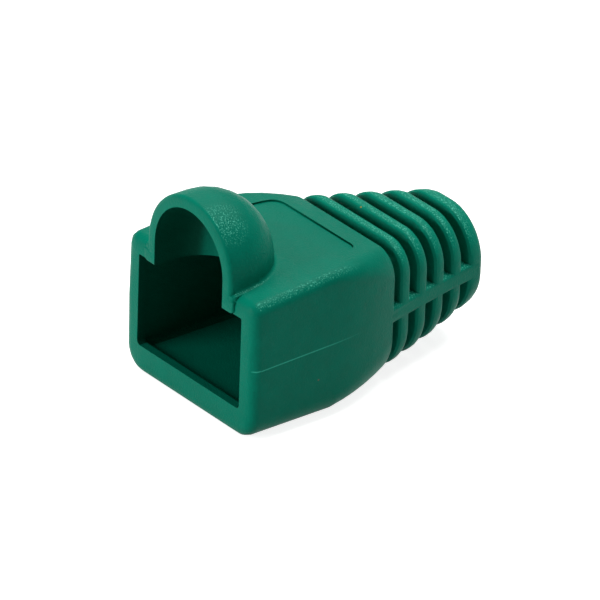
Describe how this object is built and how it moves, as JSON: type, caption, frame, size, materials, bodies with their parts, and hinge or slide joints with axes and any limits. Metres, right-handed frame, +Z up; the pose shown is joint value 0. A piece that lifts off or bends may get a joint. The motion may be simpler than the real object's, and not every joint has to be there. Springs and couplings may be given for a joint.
{
  "type": "rj45 strain relief boot",
  "caption": "Soft moulded boot with a square plug socket, a domed latch hood and a slotted tapering tail that supports the cable.",
  "frame": {"origin": "on the flat underside, below the middle of the part's length and width", "axes": "+Y from the plug mouth to the cable end, +Z up through the latch hood, X across"},
  "size_m": [0.015, 0.0238, 0.0165],
  "materials": {
    "moulded_plastic": "soft green PVC, fine spark-eroded grain, satin"
  },
  "bodies": {
    "root": {"boot": "moulded_plastic"}
  },
  "joints": []
}
